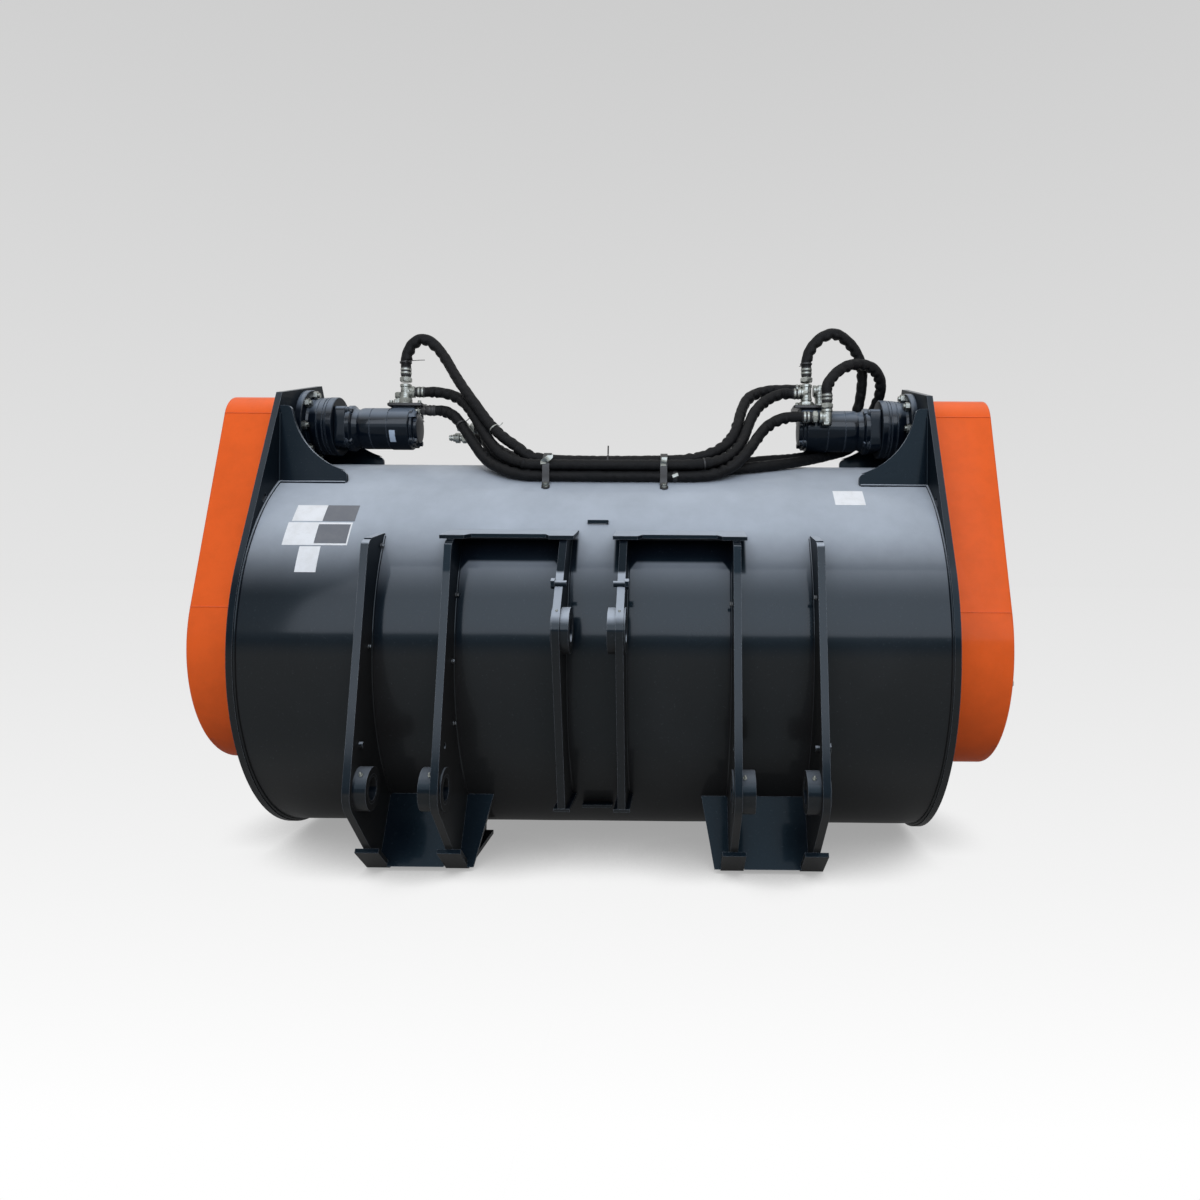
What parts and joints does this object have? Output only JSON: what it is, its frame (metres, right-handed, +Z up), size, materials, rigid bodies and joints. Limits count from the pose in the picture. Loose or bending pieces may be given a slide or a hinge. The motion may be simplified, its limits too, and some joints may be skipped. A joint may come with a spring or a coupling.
{
  "type": "concrete mixing bucket",
  "caption": "Pin-on concrete mixing bucket for a wheel loader, with a ribbon mixing shaft, chain drives, hydraulic motors and a hinged safety grate.",
  "frame": {"origin": "on the ground under the mixing shaft, at the middle of the width", "axes": "+X to the right as seen from the loader, +Y towards the mouth, +Z up"},
  "size_m": [2.406, 1.47, 1.6068],
  "materials": {
    "paint": "gloss",
    "cover_paint": "gloss",
    "wear_steel": "matte",
    "machined_steel": "satin",
    "zinc": "satin",
    "sleeve": "matte",
    "seal": "matte"
  },
  "bodies": {
    "bucket": {"drum_shell": "paint", "left_end_plate": "paint", "right_end_plate": "paint", "lip_plate": "paint", "mouth_beam": "paint", "left_outer_lift_lug": "paint", "left_inner_lift_lug": "paint", "right_inner_lift_lug": "paint", "right_outer_lift_lug": "paint", "left_tilt_lug": "paint", "right_tilt_lug": "paint", "lift_bosses": "paint", "tilt_bosses": "paint", "lug_caps": "paint", "cross_plates": "paint", "foot_strips": "paint", "tilt_lug_pads": "paint", "shell_tabs": "paint", "motor_gussets": "paint", "left_gearbox": "paint", "right_gearbox": "paint", "left_motor": "paint", "right_motor": "paint", "left_bearing": "paint", "right_bearing": "paint", "grate_brackets": "paint", "left_chain_cover": "cover_paint", "right_chain_cover": "cover_paint", "cutting_edge": "wear_steel", "cutting_edge_bolts": "wear_steel", "left_chain": "wear_steel", "right_chain": "wear_steel", "lift_bushes": "machined_steel", "tilt_bushes": "machined_steel", "cover_posts": "machined_steel", "cover_bolts": "zinc", "flange_studs": "zinc", "left_fittings": "zinc", "right_fittings": "zinc", "grate_pins": "zinc", "hose_clamps": "zinc", "quick_couplers": "zinc", "left_loop_hose": "sleeve", "left_feed_hose": "sleeve", "lower_hose": "sleeve", "right_loop_hose": "sleeve", "right_inner_loop_hose": "sleeve", "shaft_seals": "seal"},
    "rotor": {"left_driven_sprocket": "machined_steel", "right_driven_sprocket": "machined_steel", "mixing_shaft": "machined_steel", "left_ribbon": "wear_steel", "right_ribbon": "wear_steel", "mixer_arms": "machined_steel"},
    "left_drive": {"left_drive_shaft": "machined_steel", "left_drive_sprocket": "machined_steel"},
    "right_drive": {"right_drive_shaft": "machined_steel", "right_drive_sprocket": "machined_steel"},
    "grate": {"grate": "paint"}
  },
  "joints": [
    {"name": "rotor_spin", "type": "hinge", "parent": "bucket", "child": "rotor", "pos_m": [0, 0, 0.6], "axis": [1, 0, 0], "continuous": true, "deforming": ["left_chain", "right_chain"]},
    {"name": "left_drive_spin", "type": "hinge", "parent": "bucket", "child": "left_drive", "pos_m": [0, -0.083, 1.286], "axis": [1, 0, 0], "continuous": true},
    {"name": "right_drive_spin", "type": "hinge", "parent": "bucket", "child": "right_drive", "pos_m": [0, -0.083, 1.286], "axis": [1, 0, 0], "continuous": true},
    {"name": "grate_hinge", "type": "hinge", "parent": "bucket", "child": "grate", "pos_m": [0, 0.39691, 1.08149], "axis": [1, 0, 0], "range_deg": [0, 100]}
  ],
  "couplings": [
    {"joint": "left_drive_spin", "follows": "rotor_spin", "ratio": 4.5385},
    {"joint": "right_drive_spin", "follows": "rotor_spin", "ratio": 4.5385}
  ]
}
